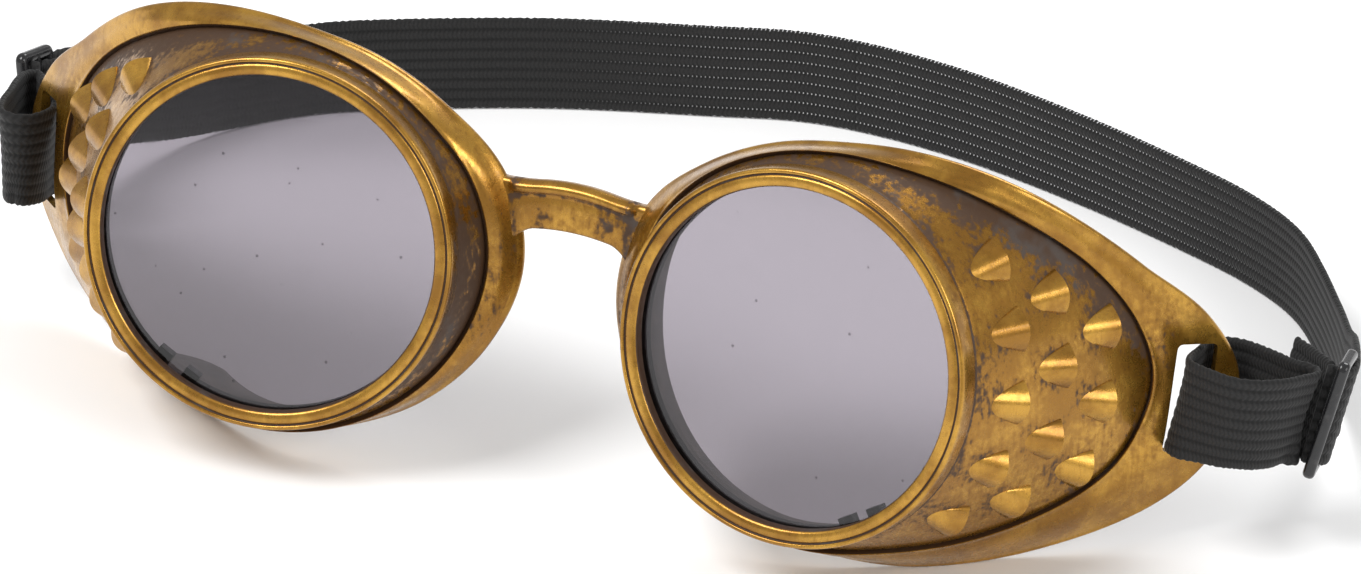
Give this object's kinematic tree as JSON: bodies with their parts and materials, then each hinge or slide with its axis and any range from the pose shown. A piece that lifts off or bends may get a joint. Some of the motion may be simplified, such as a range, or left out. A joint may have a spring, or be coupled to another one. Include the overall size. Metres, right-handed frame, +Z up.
{
  "type": "costume welding goggles",
  "caption": "Round-lens goggles: one-piece studded gold cups and bridge, smoked flat lenses, and a black elastic strap with sliders.",
  "frame": {"origin": "middle of the rear face of the nose bridge, on the plane of symmetry of the moulded frame; the table that the goggles rest on is 38.93 mm below it", "axes": "+X to the wearer's left, -Y to the front of the goggles, +Z up from the table. The goggles lean back on the table by 15.4 degrees, as they lie in the picture: the axis of mount nose_bridge points straight back through the goggles to the face."},
  "size_m": [0.2056, 0.1224, 0.0603],
  "materials": {
    "frame_gold": "antique gold paint over black moulded plastic, satin gloss, dark patina in the recesses",
    "lens_smoke": "clear smoke-tinted plastic, gloss",
    "retainer_black": "black plastic, satin",
    "strap_black": "black braided elastic",
    "slider_black": "black moulded plastic, gloss"
  },
  "bodies": {
    "root": {"frame": "frame_gold", "lens_left": "lens_smoke", "lens_right": "lens_smoke", "lens_retainer_left": "retainer_black", "lens_retainer_right": "retainer_black", "strap_band": "strap_black"},
    "strap_loop_left": {"strap_loop_left": "strap_black"},
    "strap_loop_right": {"strap_loop_right": "strap_black"},
    "slider_left": {"slider_left": "slider_black", "strap_end_left": "strap_black"},
    "slider_right": {"slider_right": "slider_black", "strap_end_right": "strap_black"}
  },
  "joints": [
    {"name": "strap_loop_swivel_left", "type": "hinge", "parent": "root", "child": "strap_loop_left", "pos_m": [0.08977, 0.01519, -0.01711], "axis": [0, 0.2662, 0.9639], "range_deg": [-8, 6]},
    {"name": "slider_slide_left", "type": "slide", "parent": "strap_loop_left", "child": "slider_left", "axis": [-0.1901, 0.9318, -0.3093], "range_m": [-0.001, 0.001]},
    {"name": "strap_loop_swivel_right", "type": "hinge", "parent": "root", "child": "strap_loop_right", "pos_m": [-0.08977, 0.01519, -0.01711], "axis": [0, 0.2662, 0.9639], "range_deg": [-6, 8]},
    {"name": "slider_slide_right", "type": "slide", "parent": "strap_loop_right", "child": "slider_right", "axis": [0.1901, 0.9318, -0.3093], "range_m": [-0.001, 0.001]}
  ]
}
